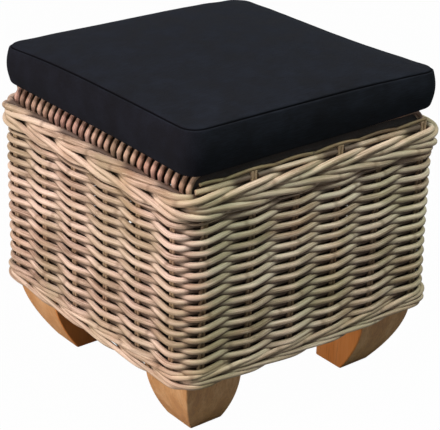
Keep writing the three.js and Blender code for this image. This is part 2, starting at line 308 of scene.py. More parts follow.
def rattan(name, dark, middle, pale, wear):
    # Split-free rattan core: streaks along the rod, blotches, stem rings, pale rubbed patches.
    look = rattanLook

    def build(graph, surface):
        along = graph.attribute("along")
        tone = graph.attribute("tone")
        place = graph.objectPlace()
        acrossX, acrossY, _ = graph.split(graph.attribute("section", "Vector"))
        rod = graph.maths("FLOOR", along / look["rodLength"] + tone * 7)
        rodTone = graph.node("ShaderNodeTexWhiteNoise", {"noise_dimensions": "2D"},
                             {"Vector": graph.combine(rod, tone * 31, 0)})
        streakPlace = graph.combine(along * 9, acrossX * 2.6, acrossY * 2.6 + rodTone * 40)
        streaks = graph.noise(streakPlace, 1.6, 4.0, 0.65)
        blotchPlace = graph.combine(along * 14 + tone * 90, acrossX * 0.5, acrossY * 0.5)
        blotches = graph.noise(blotchPlace, 1.0, 3.0, 0.6)
        mixture = (graph.between(streaks, 0.3, 0.72) * look["streakShare"]
                   + graph.between(blotches, 0.3, 0.7) * look["blotchShare"] + rodTone * look["rodShare"])
        base = graph.ramp(mixture, [(0.2, dark), (0.46, middle), (0.74, pale)])
        tan = graph.noise(graph.stretch(place, 1.7), 4.0, 2.0, 0.6)
        tanned = graph.blend(graph.between(tan, 0.5, 0.7) * look["tan"], base, shade(look["tanShade"]))
        weather = graph.noise(place, 9.0, 3.0, 0.55)
        greyed = graph.between(weather, 0.42, 0.66) * look["aged"]
        aged = graph.blend(greyed, tanned, shade(look["agedShade"]))
        ringPlace = graph.maths("PINGPONG", along + tone, look["ringSpacing"] / 2)
        ring = 1 - graph.between(ringPlace, 0.0, look["ringWidth"])
        ringed = graph.blend(ring * look["ring"], aged, shade(look["ringShade"]))
        rubbed = graph.noise(graph.combine(along * 30 + 5, acrossX, acrossY), 1.4, 3.0, 0.7)
        worn = graph.blend(graph.between(rubbed, 0.62, 0.74) * wear, ringed, shade(look["rubbedShade"]))
        # Painted shade: a strand is darkened where it runs behind the stakes.
        behindShadeShare = graph.attribute("sheltered") * look["behindShadeStrength"]
        graph.feed(surface.inputs["Base Color"], graph.blend(behindShadeShare, worn, shade(look["behindShadeColour"])))
        graph.feed(surface.inputs["Roughness"], graph.between(streaks, 0.3, 0.7, *look["roughness"]))
        surface.inputs["Specular IOR Level"].default_value = look["specular"]
        height = streaks * 0.5 + ring * 0.5 + graph.noise(streakPlace, 7.0, 2.0, 0.5) * 0.25
        bump = graph.node("ShaderNodeBump", None, {"Strength": look["bumpStrength"],
                                                   "Distance": look["bump"], "Height": height})
        graph.feed(surface.inputs["Normal"], bump)
    return paint(name, build)


weaverRattan = rattan("weaver_rattan", "715a4b", "af9987", "d8c6b7", 0.5)
borderRattan = rattan("border_rattan", "7d6856", "b19c89", "d3c2b0", 0.5)
stakeRattan = rattan("stake_rattan", "654f3f", "9d836b", "c2aa92", 0.3)
deckRattan = rattan("deck_rattan", "6a4e43", "9e7b6d", "cbab9c", 0.3)
edgeRattan = rattan("edge_rattan", "47352a", "6d5742", "917c5f", 0.2)

timberLook = {
    "pores": 0.3,
    "poreShade": "54331a",
    "paintedWarmLight": 0.7,             # how strongly painted warm light covers the plumb inner faces of the feet
    "paintedWarmLightShade": "dd8632",
    "paintedWarmLightFrom": 0.001,       # behind an inner face
    "paintedWarmLightDepth": 0.002,
    "dryness": 0.16,          # how much rougher the pale fibres are
    "bump": 0.0005,
    "bumpStrength": 0.35,
}


def timber(name, dark, middle, pale, gloss, inner=None):
    # Upright grain in long bands with fine pores. On faces nearer than inner to the middle, warm light is
    # painted on.
    look = timberLook

    def build(graph, surface):
        x, y, z = graph.split(graph.objectPlace())
        sway = graph.noise(graph.combine(x * 6, y * 6, z * 1.5), 1.2, 2.0) * 3
        bands = graph.noise(graph.combine(x * 34 + sway, y * 34 + sway, z * 2.2), 1.0, 3.0, 0.6)
        fibres = graph.noise(graph.combine(x * 420, y * 420, z * 11), 1.0, 3.0, 0.6)
        pores = graph.between(graph.noise(graph.combine(x * 700, y * 700, z * 26), 1.0, 1.0), 0.6, 0.72)
        grain = graph.between(bands, 0.3, 0.7) * 0.6 + graph.between(fibres, 0.3, 0.7) * 0.4
        base = graph.ramp(grain, [(0.1, dark), (0.5, middle), (0.9, pale)])
        if inner:
            nearest = graph.maths("MINIMUM", graph.maths("ABSOLUTE", x), graph.maths("ABSOLUTE", y))
            # Painted warm light on the plumb inner faces.
            paintedWarmLight = 1 - graph.between(nearest, inner, inner + look["paintedWarmLightDepth"])
            base = graph.blend(paintedWarmLight * look["paintedWarmLight"], base, shade(look["paintedWarmLightShade"]))
        pored = graph.blend(pores * look["pores"], base, shade(look["poreShade"]))
        graph.feed(surface.inputs["Base Color"], pored)
        roughness = graph.between(fibres, 0.3, 0.7, gloss, gloss + look["dryness"])
        graph.feed(surface.inputs["Roughness"], roughness)
        bump = graph.node("ShaderNodeBump", None, {"Strength": look["bumpStrength"], "Distance": look["bump"],
                                                   "Height": fibres - pores * 0.6})
        graph.feed(surface.inputs["Normal"], bump)
    return paint(name, build)


footInner = abs(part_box("foot_front_left")[1].x)      # distance of the plumb faces from the middle
footTimber = timber("foot_timber", "b68556", "c99863", "d9af80", 0.38, footInner + timberLook["paintedWarmLightFrom"])
# Near black frame timber: painted shade for the frame inside the body and under the cushion.
darkFrameTimber = timber("dark_frame_timber", "0f0a07", "18110c", "221812", 0.6)


def boltSteel(graph, surface):
    haze = graph.noise(graph.objectPlace(), 240.0, 3.0)
    graph.feed(surface.inputs["Base Color"], graph.ramp(haze, [(0.3, "7f8285"), (0.7, "a9abad")]))
    graph.feed(surface.inputs["Roughness"], graph.between(haze, 0.3, 0.7, 0.3, 0.5))
    surface.inputs["Metallic"].default_value = 1.0


steel = paint("bolt_steel", boltSteel)

clothLook = {
    "shades": ("131418", "17191f", "1c1f27"),
    "threadSpacing": 0.0011,
    "seam": 0.9,              # how much painted crease shadow darkens the sewn seams
    "seamShadowShade": "020203",
    "sheen": 0.01,
    "sheenShade": "8b97ad",
    "specular": 0.02,
    "bump": 0.0004,
    "bumpStrength": 0.35,
}


def cushionCloth(graph, surface):
    # Near black outdoor canvas: a plain weave, lint and a slight bloom.
    look = clothLook
    place = graph.objectPlace()
    x, y, z = graph.split(place)
    threads = 2 * math.pi / look["threadSpacing"]
    weave = graph.maths("SINE", (x + z) * threads) * graph.maths("SINE", (y + z) * threads)
    mottle = graph.noise(place, 26.0, 4.0, 0.6)
    slubs = graph.noise(graph.combine(x * 60, y * 900, z * 900), 1.0, 2.0)
    lint = graph.between(mottle, 0.3, 0.7) * 0.6 + graph.between(slubs, 0.35, 0.65) * 0.4
    base = graph.ramp(lint, list(zip((0.0, 0.5, 1.0), look["shades"])))
    # Painted shadow in the creases of the seams.
    seamShadow = graph.between(graph.attribute("seam"), 0.1, 0.6) * look["seam"]
    graph.feed(surface.inputs["Base Color"], graph.blend(seamShadow, base, shade(look["seamShadowShade"])))
    graph.feed(surface.inputs["Roughness"], graph.between(mottle, 0.3, 0.7, 0.78, 0.92))
    surface.inputs["Specular IOR Level"].default_value = look["specular"]
    surface.inputs["Sheen Weight"].default_value = look["sheen"]
    surface.inputs["Sheen Roughness"].default_value = 0.5
    surface.inputs["Sheen Tint"].default_value = shade(look["sheenShade"])
    height = weave * 0.5 + slubs * 0.6 + mottle * 0.8
    bump = graph.node("ShaderNodeBump", None, {"Strength": look["bumpStrength"], "Distance": look["bump"],
                                               "Height": height})
    graph.feed(surface.inputs["Normal"], bump)


cloth = paint("cushion_cloth", cushionCloth)
print("materials made")


# Path round the stakes: whole numbers are the stakes, 0 to 5 on the front

def stakeLineTree():
    graph = GeometryGraph("stake line", {
        "Stake": 0.0, "Half": stool["stakeHalf"], "Reach": stool["stakeReach"],
        "Corner Radius": stool["cornerOnStakes"], "Stakes Per Side": stool["stakesPerSide"]},
        {"Place": Vector(), "Outward": Vector()})
    given = graph.given
    perSide = given["Stakes Per Side"]
    half, reach, radius = given["Half"], given["Reach"], given["Corner Radius"]
    side = graph.maths("FLOOR", given["Stake"] / perSide)
    within = given["Stake"] - side * perSide
    lead = half - radius - reach
    turnRun = lead * 2 + radius * (math.pi / 2)
    beyond = graph.maths("MAXIMUM", within - (perSide - 1), 0) * turnRun
    before = graph.maths("MINIMUM", beyond, lead)
    angle = graph.maths("MINIMUM", graph.maths("MAXIMUM", (beyond - lead) / radius, 0), math.pi / 2)
    after = graph.maths("MAXIMUM", beyond - lead - radius * (math.pi / 2), 0)
    straight = graph.maths("MINIMUM", within, perSide - 1) * (2 * reach / (perSide - 1))
    sine = graph.maths("SINE", angle)
    cosine = graph.maths("COSINE", angle)
    place = graph.combine(straight - reach + before + radius * sine,
                          radius * (1 - cosine) - half + after, 0)
    outward = graph.combine(sine, 0 - cosine, 0)
    spin = side * (math.pi / 2)
    for label, vector in (("Place", place), ("Outward", outward)):
        graph.give(label, graph.node("ShaderNodeVectorRotate", {"rotation_type": "Z_AXIS"},
                                     {"Vector": vector, "Angle": spin}))
    return graph.tree


stakeLine = stakeLineTree()


# How hand work wanders: one slow field that everything woven follows

wander = {
    "upDown": 0.0011,
    "inOut": 0.0014,
    "slow": 9.0,              # the larger, the shorter the waves
    "steady": 0.55,           # from this share of the half height on, the wander fades out
    "wallDrop": 0.0044,       # how far the wall's top has settled
    "wallSpan": 0.09,         # the part of the wall that settles
    "rimDrop": 0.0056,        # what the rim has settled more than that
    "rimSpan": 0.003,         # how far above the rim that is reached
    "skirtSag": 0.006,        # of the lower border, between two feet
    "skirtSpan": 0.03,        # how high that stays whole
    "rightGive": 0.007,       # how far the right side stands out
    "skirtGive": 0.004,       # and its lower border more than that
    "leftGive": 0.004,
    "giveFrom": 0.5,          # from this share of the half width on, a side gives
}


def wanderTree():
    graph = GeometryGraph("hand work", {
        "Geometry": None, "Up Down": wander["upDown"], "In Out": wander["inOut"], "Slow": wander["slow"],
        "Steady": wander["steady"], "Bottom": stool["skirt"], "Top": stool["rim"],
        "Weave Top": stool["weaveHigh"], "Half": stool["stakeHalf"],
        "Wall Drop": wander["wallDrop"], "Wall Span": wander["wallSpan"],
        "Rim Drop": wander["rimDrop"], "Rim Span": wander["rimSpan"],
        "Skirt Sag": wander["skirtSag"], "Skirt Span": wander["skirtSpan"],
        "Right Give": wander["rightGive"], "Skirt Give": wander["skirtGive"],
        "Left Give": wander["leftGive"], "Give From": wander["giveFrom"]}, {"Geometry": None})
    given = graph.given
    place = graph.node("GeometryNodeInputPosition")
    x, y, height = graph.split(place)
    middle = (given["Top"] + given["Bottom"]) / 2
    reach = (given["Top"] - given["Bottom"]) / 2
    fade = 1 - graph.between(graph.maths("ABSOLUTE", height - middle) / reach, given["Steady"], 1.0)
    field = graph.node("ShaderNodeTexNoise", None, {"Vector": place, "Scale": given["Slow"], "Detail": 1.0},
                       output="Color")
    shiftX, shiftY, shiftZ = graph.split(field)
    shift = graph.combine((shiftX - 0.5) * given["In Out"] * 2, (shiftY - 0.5) * given["In Out"] * 2,
                          (shiftZ - 0.5) * given["Up Down"] * 2)
    weaveTop = given["Weave Top"]
    wallShare = graph.between(height, weaveTop - given["Wall Span"], weaveTop, smooth=False)
    rimShare = graph.between(height, weaveTop, given["Top"] + given["Rim Span"], smooth=False)
    right = x / given["Half"]
    nearer = graph.maths("MINIMUM", graph.maths("ABSOLUTE", x), graph.maths("ABSOLUTE", y)) / given["Half"]
    midSide = graph.maths("MAXIMUM", 1 - nearer * nearer, 0)
    lowShare = 1 - graph.between(height, given["Bottom"] + given["Skirt Span"], middle)
    settled = (wallShare * given["Wall Drop"] + rimShare * given["Rim Drop"]
               + lowShare * midSide * given["Skirt Sag"])
    rightGive = given["Right Give"] + lowShare * given["Skirt Give"]
    wider = (graph.between(right, given["Give From"], 1.0) * rightGive
             - graph.between(0 - right, given["Give From"], 1.0) * given["Left Give"])
    move = graph.vectors("ADD", graph.stretch(shift, fade), graph.combine(wider, 0, 0 - settled))
    graph.give("Geometry", graph.node("GeometryNodeSetPosition", None,
                                      {"Geometry": given["Geometry"], "Offset": move}))
    return graph.tree


handWork = wanderTree()


def sweepRod(graph, curve, radius, sides):
    # Sweeps a round section along a curve and keeps where each point is on the rod.
    circle = graph.node("GeometryNodeCurvePrimitiveCircle", None, {"Resolution": sides, "Radius": 1.0})
    section = graph.keep(circle, "section", graph.node("GeometryNodeInputPosition"), "FLOAT_VECTOR")
    measured = graph.keep(curve, "along", graph.node("GeometryNodeSplineParameter", output="Length"))
    sized = graph.node("GeometryNodeSetCurveRadius", None, {"Curve": measured, "Radius": radius})
    body = graph.node("GeometryNodeCurveToMesh", None,
                      {"Curve": sized, "Profile Curve": section, "Scale": radius, "Fill Caps": True})
    return graph.node("GeometryNodeSetShadeSmooth", None, {"Geometry": body})


# Strands woven round the stakes. A swing of 1 is in front of a stake, -1 is behind one

strandShape = {
    "spread": (0.2, 0.9),     # how far behind a stake a strand starts to spread, and is widest
    "behindShadeSwing": (-0.45, 0.2),  # the swing at which painted shade covers a strand, and at which it is gone
    "lumps": 0.35,            # thick and thin stretches to a stake
}


def strandTree():
    graph = GeometryGraph("woven strand", {
        "First Stake": 0.0, "Stakes Passed": 24.0, "Points": 300, "Sides": 10,
        "Rod": 0.007, "Throw": 0.0066, "Inset": 0.0, "Behind": 1.0, "Repeat": 2.0, "Tilt": 0.0,
        "Sag": 0.0, "Swell": 0.0, "Hidden Swell": 0.0,
        "Height": 0.2, "Rise Per Turn": 0.0153, "Stakes Round": float(stakeCount),
        "Taper From": 10000.0, "Taper": 0.0, "Climb Lost": 0.0, "Straightness": 0.0,
        "Thickness Play": 0.06, "Tone": 0.5, "Material": weaverRattan}, {"Geometry": None})
    given = graph.given
    line = graph.node("GeometryNodeMeshLine", None, {"Count": given["Points"], "Offset": (0.001, 0, 0)})
    curve = graph.node("GeometryNodeMeshToCurve", None, {"Mesh": line})
    share = graph.node("GeometryNodeInputIndex") / (given["Points"] - 1)
    passed = share * given["Stakes Passed"]
    stake = given["First Stake"] + passed
    period = given["Repeat"]
    phase = (stake - given["Behind"] + period / 2) % period - period / 2
    distance = graph.maths("ABSOLUTE", phase)
    eased = graph.between(distance, 0.0, 1.0, -1.0, 1.0)
    straight = graph.between(distance, 0.0, 1.0, -1.0, 1.0, smooth=False)
    swing = eased * (1 - given["Straightness"]) + straight * given["Straightness"]
    slant = graph.maths("SINE", phase * (2 * math.pi) / period)
    place = graph.use(stakeLine, {"Stake": stake}, "Place")
    outward = place.other("Outward")
    lastTurns = graph.maths("MAXIMUM", passed - given["Taper From"], 0) / given["Stakes Round"]
    thinner = 1 - lastTurns * given["Taper"]
    climb = given["Rise Per Turn"] * (passed / given["Stakes Round"] - lastTurns * given["Climb Lost"])
    height = given["Height"] + climb - slant * given["Tilt"] - swing * given["Sag"]
    throw = given["Throw"] - given["Rod"] / 2 * (1 - thinner)
    out = graph.stretch(outward, swing * throw - given["Inset"])
    spot = graph.vectors("ADD", graph.vectors("ADD", place, out), graph.combine(0, 0, height))
    placed = graph.node("GeometryNodeSetPosition", None, {"Geometry": curve, "Position": spot})
    played = graph.use(handWork, {"Geometry": placed})
    lump = graph.noise(graph.combine(passed * strandShape["lumps"], given["Tone"] * 50, 0), 1.0, 2.0)
    swell = (graph.maths("MAXIMUM", swing, 0) * given["Swell"]
             + graph.between(0 - swing, *strandShape["spread"]) * given["Hidden Swell"])
    radius = given["Rod"] / 2 * thinner * (1 + (lump - 0.5) * 2 * given["Thickness Play"] + swell)
    # Marks where the strand runs behind a stake, for the rattan's painted shade.
    sheltered = graph.keep(played, "sheltered", 1 - graph.between(swing, *strandShape["behindShadeSwing"]))
    rod = sweepRod(graph, sheltered, radius, given["Sides"])
    graph.end(graph.keep(rod, "tone", given["Tone"]), given["Material"])
    return graph.tree


wovenStrand = strandTree()

weaving = {
    "rod": 0.0078,
    "firstStake": 18,         # back left corner
    "stakesPassed": 348,      # 14.5 turns
    "taperFrom": 324,         # over the last turn the strands taper, so that the wall ends level
    "taper": 0.8,
    "rowPitch": 0.0153,
    "firstRow": 0.0035,       # centre of the first turn, above the weave's low edge
    "packing": 0.0084,        # strands behind the stakes, where the weave meets the borders
    "packingLevels": {"skirt_upper": 2.5, "skirt_lower": 1.0},     # in strands above the underside
    "gap": 0.0001,
    "pointsPerStake": 12,
    "sides": 10,
    "tilt": 0.0002,
    "sag": 0.0009,            # a strand hangs this much lower in front of a stake than behind one
    "swell": 0.04,            # a strand is this much thicker in front of a stake than between two stakes
    "hiddenSwell": 0.85,      # and this much behind one, where it spreads and closes the wall
    "straightness": 0.5,      # 1 is straight from stake to stake
    "bedding": 0.0006,        # how far a strand beds into the stakes
}
pieces = []


def weaver(letter, parity):
    values = weaving
    throw = values["rod"] / 2 * (1 + values["swell"]) + stool["stakeRod"] / 2 - values["bedding"]
    centre = stool["weaveLow"] + values["firstRow"] + values["rowPitch"] * (parity / 2 - 1)
    piece = grow(f"woven_weaver_{letter}", wovenStrand, {
        "First Stake": float(values["firstStake"]), "Stakes Passed": float(values["stakesPassed"]),
        "Points": values["stakesPassed"] * values["pointsPerStake"] + 1, "Sides": values["sides"],
        "Rod": values["rod"], "Throw": throw, "Behind": 1.0 - parity, "Repeat": 2.0, "Tilt": values["tilt"],
        "Sag": values["sag"], "Swell": values["swell"], "Hidden Swell": values["hiddenSwell"],
        "Height": centre, "Rise Per Turn": values["rowPitch"], "Taper From": float(values["taperFrom"]),
        "Taper": values["taper"], "Climb Lost": values["taper"] * (parity + 1) / 2,
        "Straightness": values["straightness"], "Tone": 0.31 + 0.4 * parity, "Material": weaverRattan})
    pieces.append((piece, [f"weaver_{letter}"], "basket"))


for letter, parity in (("a", 0), ("b", 1)):
    weaver(letter, parity)


def packingStrand(name, height):
    rod = weaving["packing"]
    piece = grow(f"packing_strand_{name}", wovenStrand, {
        "First Stake": float(weaving["firstStake"]), "Stakes Passed": float(stakeCount),
        "Points": stakeCount * weaving["pointsPerStake"] + 1, "Sides": weaving["sides"], "Rod": rod,
        "Throw": 0.0, "Inset": (rod + stool["stakeRod"]) / 2 + weaving["gap"], "Behind": 0.0,
        "Repeat": 2.0, "Height": height, "Rise Per Turn": 0.0, "Tone": 0.83, "Material": edgeRattan})
    pieces.append((piece, [], "basket"))


packingStrand("rim_upper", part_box("rim_upper_rod_1")[0].z)
packingStrand("rim_lower", stool["weaveHigh"] + weaving["packing"] / 2)
for name, level in weaving["packingLevels"].items():
    packingStrand(name, stool["skirt"] + weaving["packing"] * level)
print("weavers made")


# Borders: three rods in each course, each in front of two stakes and behind one

waling = {
    "rods": {"skirt": 0.0068, "rim": 0.0088},
    "slants": {"lower": -1, "upper": 1},         # of the two courses of a border
    "skirtBand": 0.0122,      # height of a course of the lower border, less than in the frame
    "fullLift": 1.155,        # the slant is a sine: this makes it whole beside the stakes
    "gap": 0.0001,
    "thicknessPlay": 0.05,
    "pointsPerStake": 14,
    "sides": 12,
}


def waleRod(border, course, number):
    node = f"{border}_{course}_rod_{number}"
    low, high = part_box(node)
    rod = waling["rods"][border]
    firstStake = weaving["firstStake"] + number - 1
    centre = (low.z + high.z) / 2
    band = high.z - low.z
    if border == "skirt":
        band = waling["skirtBand"]
        centre = stool["skirt"] + band * (0.5 if course == "lower" else 1.5)
    tilt = waling["slants"][course] * (band - rod) / 2 * waling["fullLift"]
    tone = 0.13 + 0.21 * number + (0.07 if course == "upper" else 0) + (0.4 if border == "rim" else 0)
    piece = grow(f"waled_{border}_{course}_{number}", wovenStrand, {
        "First Stake": float(firstStake), "Stakes Passed": float(stakeCount),
        "Points": stakeCount * waling["pointsPerStake"] + 1, "Sides": waling["sides"], "Rod": rod,
        "Throw": rod / 2 + waling["gap"] + stool["stakeRod"] / 2, "Behind": float(firstStake % 3),
        "Repeat": 3.0, "Tilt": tilt, "Height": centre, "Rise Per Turn": 0.0,
        "Thickness Play": waling["thicknessPlay"], "Tone": tone, "Material": borderRattan})
    pieces.append((piece, [node], "basket"))


for border in waling["rods"]:
    for course in waling["slants"]:
        for number in (1, 2, 3):
            waleRod(border, course, number)
print("borders made")


# Stakes: two rods side by side. On the front and back every second pair stands out of the rim

rimTrim = {
    "stubMore": 0.004,        # stake ends stand this much higher than in the frame
    "hiddenTop": 0.006,       # the other stakes end this far below the rim
    "rail": 0.0070,
    "railPlay": 0.09,         # from a stake end to the rail's cut end, in stakes
    "before": 0.3,            # how far the rails run past the outer stakes, in stakes
    "edge": 0.0044,
    "edgeRise": 0.0047,       # the thin strands lie this much higher over a stake end
    "edgeInset": 0.0036,
    "edgeBefore": 0.12,
    "innerInset": 0.0065,
    "innerDrop": 0.002,
}


def stakeTree():
    graph = GeometryGraph("stakes", {"Stakes": stakeCount, "Rod": stool["stakeRod"], "Bottom": stool["skirt"],
                                     "Top": stool["rim"], "Tall Top": stool["stubTop"], "Points": 40,
                                     "Sides": 10, "Material": stakeRattan}, {"Geometry": None})
    given = graph.given
    line = graph.node("GeometryNodeMeshLine", None, {"Count": given["Stakes"], "Offset": (0.001, 0, 0)})
    number = graph.node("GeometryNodeInputIndex")
    place = graph.use(stakeLine, {"Stake": number}, "Place")
    side = graph.maths("FLOOR", number / stool["stakesPerSide"])
    spots = graph.node("GeometryNodeSetPosition", None, {"Geometry": line, "Position": place})
    kind = number % 2 * (1 + side % 2)        # 1 for a pair that stands out of the rim
    half = given["Rod"] / 2
    rods = []
    for wanted, top in enumerate((given["Top"], given["Tall Top"], given["Top"])):
        chosen = graph.node("FunctionNodeCompare", {"data_type": "FLOAT", "operation": "EQUAL"},
                            {0: kind, 1: float(wanted)})
        turned = graph.node("FunctionNodeAxisAngleToRotation", None,
                            {"Axis": (0, 0, 1), "Angle": side * (math.pi / 2)})
        for offset in (-1, 1):
            bar = graph.node("GeometryNodeCurvePrimitiveLine", None,
                             {"Start": graph.combine(half * offset, 0, given["Bottom"]),
                              "End": graph.combine(half * offset, 0, top)})
            fine = graph.node("GeometryNodeResampleCurve", None, {"Curve": bar, "Count": given["Points"]})
            rods.append(graph.node("GeometryNodeInstanceOnPoints", None, {
                "Points": spots, "Selection": chosen, "Instance": fine, "Rotation": turned}))
    joined = graph.node("GeometryNodeJoinGeometry")
    for rod in rods:
        graph.tree.links.new(rod.socket, joined.socket.node.inputs[0])
    loose = graph.node("GeometryNodeRealizeInstances", None, {"Geometry": joined})
    played = graph.use(handWork, {"Geometry": loose})
    body = sweepRod(graph, played, half, given["Sides"])
    tone = graph.noise(graph.node("GeometryNodeInputPosition"), 7.0, 1.0)
    graph.end(graph.keep(body, "tone", tone), given["Material"])
    return graph.tree


stakes = grow("stakes", stakeTree(), {"Top": stool["rim"] - rimTrim["hiddenTop"],
                                      "Tall Top": stool["stubTop"] + rimTrim["stubMore"]})
stakeNodes = [f"stake_{side}_{number}" for side in ("front", "right", "back", "left")
              for number in range(1, stool["stakesPerSide"] + 1)]
pieces.append((stakes, stakeNodes, "basket"))
print("stakes made")


# Front and back rim: pale rails between the stake ends, thin strands that roof them over

def rimSide(side, firstStake):
    sizes = rimTrim
    last = stool["stakesPerSide"] - 1
    railLevel = stool["rim"] + sizes["rail"] / 2
    stretches = [(-sizes["before"], 1)]       # from and to, in stakes: each runs on to a stake end
    stretches += [(number + sizes["railPlay"], number + 2) for number in range(1, last, 2)]
    for number, (begin, end) in enumerate(stretches, 1):
        piece = grow(f"rim_rail_{side}_{number}", wovenStrand, {
            "First Stake": firstStake + begin, "Stakes Passed": end - sizes["railPlay"] - begin,
            "Points": 30, "Sides": 12, "Rod": sizes["rail"], "Throw": 0.0, "Tilt": 0.0, "Height": railLevel,
            "Rise Per Turn": 0.0, "Tone": 0.2 + 0.23 * number, "Material": borderRattan})
        pieces.append((piece, [f"rim_rod_{side}"] if number == 1 else [], "basket"))
    outerLevel = stool["stubTop"] + sizes["stubMore"] + sizes["edge"] / 2 - sizes["edgeRise"]
    outer = ("outer", 0.0, outerLevel, sizes["edgeInset"], 0.35)
    inner = ("inner", 1.0, outerLevel - sizes["innerDrop"], sizes["innerInset"], 0.65)
    for name, behind, height, inset, tone in (outer, inner):
        piece = grow(f"rim_edge_{side}_{name}", wovenStrand, {
            "First Stake": firstStake - sizes["edgeBefore"], "Stakes Passed": last + 2 * sizes["edgeBefore"],
            "Points": 140, "Sides": 10, "Rod": sizes["edge"], "Throw": sizes["edgeInset"], "Inset": inset,
            "Behind": behind, "Repeat": 2.0, "Sag": -sizes["edgeRise"], "Height": height,
            "Rise Per Turn": 0.0, "Tone": tone, "Material": edgeRattan})
        pieces.append((piece, [], "basket"))


for side, firstStake in (("front", 0.0), ("back", 12.0)):
    rimSide(side, firstStake)
print("rim made")


# Deck: rods from left to right, ends turned down over the frame, on two battens

deckLow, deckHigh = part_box("deck")
deckSizes = {
    "rods": 28,
    "rod": 0.0078,
    "play": 0.0015,           # how far the rods stray to either side
    "settled": 0.006,         # lower than in the frame
    "endReach": 0.022,        # how far the turned ends run on behind the rim
    "shoulder": (0.024, 0.020),         # across and down, from the deck to where an end is plumb
    "lean": 0.008,            # how far an end leans in on the way up
    "endSwell": 0.2,
    "thickest": 0.12,         # where a turned end is thickest, as a share of its height
    "swellFrom": (0.2, 0.35),           # where the swell starts and where it is whole, in the same shares
    "bendPoints": 10,
    "endPoints": 8,
    "pointsAcross": 40,
    "sides": 10,
    "battenWidth": 0.016,
    "battenHeight": 0.007,
    "battenPlace": 0.1,
    "battenReach": 0.186,
    "battenBite": 0.001,
    "battenEdge": 0.0008,
}
rodsUnderside = deckHigh.z - deckSizes["settled"] - deckSizes["rod"]


def deckRodLine():
    # The centre line of one rod, from its left end to its right end.
    sizes = deckSizes
    end = deckHigh.x - sizes["rod"] / 2
    level = deckHigh.z - sizes["settled"] - sizes["rod"] / 2
    foot = deckLow.z - sizes["endReach"]
    inward, down = sizes["shoulder"]
    left = []
    for step in range(sizes["endPoints"]):
        height = foot + (level - down - foot) * step / sizes["endPoints"]
        left.append(Vector((-end, 0, height)))
    for step in range(sizes["bendPoints"] + 1):
        share = step / sizes["bendPoints"]
        left.append(Vector((-end + 2 * share * (1 - share) * sizes["lean"] + share ** 2 * inward, 0,
                            level - down * (1 - share) ** 2)))
    across = 2 * (end - inward)
    middle = [Vector((-across / 2 + across * step / sizes["pointsAcross"], 0, level))
              for step in range(1, sizes["pointsAcross"])]
    right = [Vector((-point.x, 0, point.z)) for point in reversed(left)]
    mesh = bpy.data.meshes.new("deck_rod_line")
    points = left + middle + right
    mesh.from_pydata(points, [(step, step + 1) for step in range(len(points) - 1)], [])
    return mesh


def deckTree():
    first = deckLow.y + deckSizes["rod"] / 2
    pitch = (deckHigh.y - deckLow.y - deckSizes["rod"]) / (deckSizes["rods"] - 1)
    graph = GeometryGraph("deck rods", {"Rod Line": None, "Rods": deckSizes["rods"], "Rod": deckSizes["rod"],
                                        "First": first, "Pitch": pitch, "End Swell": deckSizes["endSwell"],
                                        "End Height": deckHigh.z - deckLow.z,
                                        "Top": deckHigh.z - deckSizes["settled"],
                                        "Sides": deckSizes["sides"], "Play": deckSizes["play"], "Seed": 4,
                                        "Material": deckRattan}, {"Geometry": None})
    given = graph.given
    line = graph.node("GeometryNodeMeshLine", None, {"Count": given["Rods"],
                                                     "Start Location": graph.combine(0, given["First"], 0),
                                                     "Offset": graph.combine(0, given["Pitch"], 0)})
    curve = graph.node("GeometryNodeMeshToCurve", None, {"Mesh": given["Rod Line"]})
    rows = graph.node("GeometryNodeInstanceOnPoints", None, {"Points": line, "Instance": curve})
    number = graph.node("GeometryNodeInputIndex")
    tone = graph.node("FunctionNodeRandomValue", {"data_type": "FLOAT"},
                      {"Min": 0.0, "Max": 1.0, "ID": number, "Seed": given["Seed"]}, output=1)
    toned = graph.node("GeometryNodeStoreNamedAttribute", {"data_type": "FLOAT", "domain": "INSTANCE"},
                       {"Geometry": rows, "Name": "tone", "Value": tone})
    loose = graph.node("GeometryNodeRealizeInstances", None, {"Geometry": toned})
    x, y, z = graph.split(graph.node("GeometryNodeInputPosition"))
    down = (given["Top"] - z) / given["End Height"]
    field = graph.noise(graph.combine(x * 22, y * 60, z * 30), 1.0, 1.0)
    pushed = graph.node("GeometryNodeSetPosition", None,
                        {"Geometry": loose, "Offset": graph.combine(0, (field - 0.5) * 2 * given["Play"], 0)})
    thickest = deckSizes["thickest"]
    wave = graph.maths("COSINE", (down - thickest) * (2 * math.pi / (1 - thickest)))
    turned = graph.between(down, *deckSizes["swellFrom"])
    swell = wave * given["End Swell"] / 2 * turned - given["End Swell"] / 3 * turned
    body = sweepRod(graph, pushed, given["Rod"] / 2 * (1 + swell), given["Sides"])
    graph.end(body, given["Material"])
    return graph.tree


deck = grow("deck_rods", deckTree(), {}, deckRodLine())
pieces.append((deck, ["deck"], "basket"))


def boxMesh(mesh, low, high):
    made = bmesh.ops.create_cube(mesh, size=1.0)
    size = Vector(high) - Vector(low)
    middle = (Vector(high) + Vector(low)) / 2
    for vertex in made["verts"]:
        vertex.co = Vector(part * length for part, length in zip(vertex.co, size)) + middle


def deckBattens():
    sizes = deckSizes
    mesh = bmesh.new()
    top = rodsUnderside + sizes["battenBite"]
    for place in (-sizes["battenPlace"], sizes["battenPlace"]):
        boxMesh(mesh, (place - sizes["battenWidth"] / 2, -sizes["battenReach"], top - sizes["battenHeight"]),
                (place + sizes["battenWidth"] / 2, sizes["battenReach"], top))
    bmesh.ops.bevel(mesh, geom=mesh.edges[:], offset=sizes["battenEdge"], segments=2, affect="EDGES")
    return pieceFrom(mesh, "deck_battens", darkFrameTimber)


pieces.append((deckBattens(), [], "basket"))

topFrameSizes = {
    # In from the outer face and down from the top, where the deck rods turn down.
    "shoulder": [(0.0, 0.0185), (0.0034, 0.0097), (0.0084, 0.0041), (0.0134, 0.0012), (0.0194, 0.0)],
}


